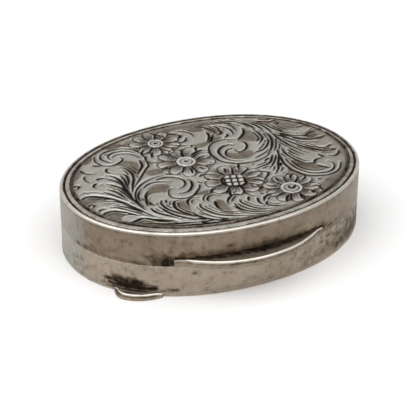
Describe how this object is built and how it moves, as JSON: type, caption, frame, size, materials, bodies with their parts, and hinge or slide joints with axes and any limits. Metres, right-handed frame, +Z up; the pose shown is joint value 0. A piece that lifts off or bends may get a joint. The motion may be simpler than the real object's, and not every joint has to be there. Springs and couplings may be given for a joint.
{
  "type": "pill box",
  "caption": "Oval silver pill box with an engraved hinged lid, a flat hinged lid under its base, crescent thumbpieces and two shallow compartments.",
  "frame": {"origin": "middle of the flat underside that the box stands on", "axes": "+X along the oval's long axis, -Y to the front with the large thumbpiece, +Z up to the engraved lid"},
  "size_m": [0.05, 0.0412, 0.011],
  "materials": {
    "wall_silver": "satin silver, tarnished warm grey",
    "engraved_silver": "engraved silver, oxidised dark in the cuts",
    "thumb_silver": "silver, polished at its edge by fingers",
    "inside_silver": "clean silver, finely brushed",
    "hinge_silver": "tarnished drawn silver tube",
    "pin_silver": "drawn silver wire"
  },
  "bodies": {
    "box": {"body_band": "wall_silver", "body_floor": "inside_silver", "body_bezel": "inside_silver", "lid_hinge_body_knuckle_left": "hinge_silver", "lid_hinge_body_knuckle_centre": "hinge_silver", "lid_hinge_body_knuckle_right": "hinge_silver", "lid_hinge_pin": "pin_silver", "base_hinge_body_knuckle_left": "hinge_silver", "base_hinge_body_knuckle_centre": "hinge_silver", "base_hinge_body_knuckle_right": "hinge_silver", "base_hinge_pin": "pin_silver"},
    "lid": {"lid_plate": "engraved_silver", "lid_band": "wall_silver", "lid_thumbpiece": "thumb_silver", "lid_hinge_lid_knuckle_left": "hinge_silver", "lid_hinge_lid_knuckle_right": "hinge_silver"},
    "base_lid": {"base_plate": "wall_silver", "base_rim": "inside_silver", "base_thumbpiece": "thumb_silver", "base_hinge_lid_knuckle_left": "hinge_silver", "base_hinge_lid_knuckle_right": "hinge_silver"}
  },
  "joints": [
    {"name": "lid_hinge", "type": "hinge", "parent": "box", "child": "lid", "pos_m": [0, 0.01915, 0.00535], "axis": [-1, 0, 0], "range_deg": [0, 110]},
    {"name": "base_lid_hinge", "type": "hinge", "parent": "box", "child": "base_lid", "pos_m": [0.01962, 0.01252, 0.0008], "axis": [0.7442, -0.6679, 0], "range_deg": [0, 100]}
  ]
}
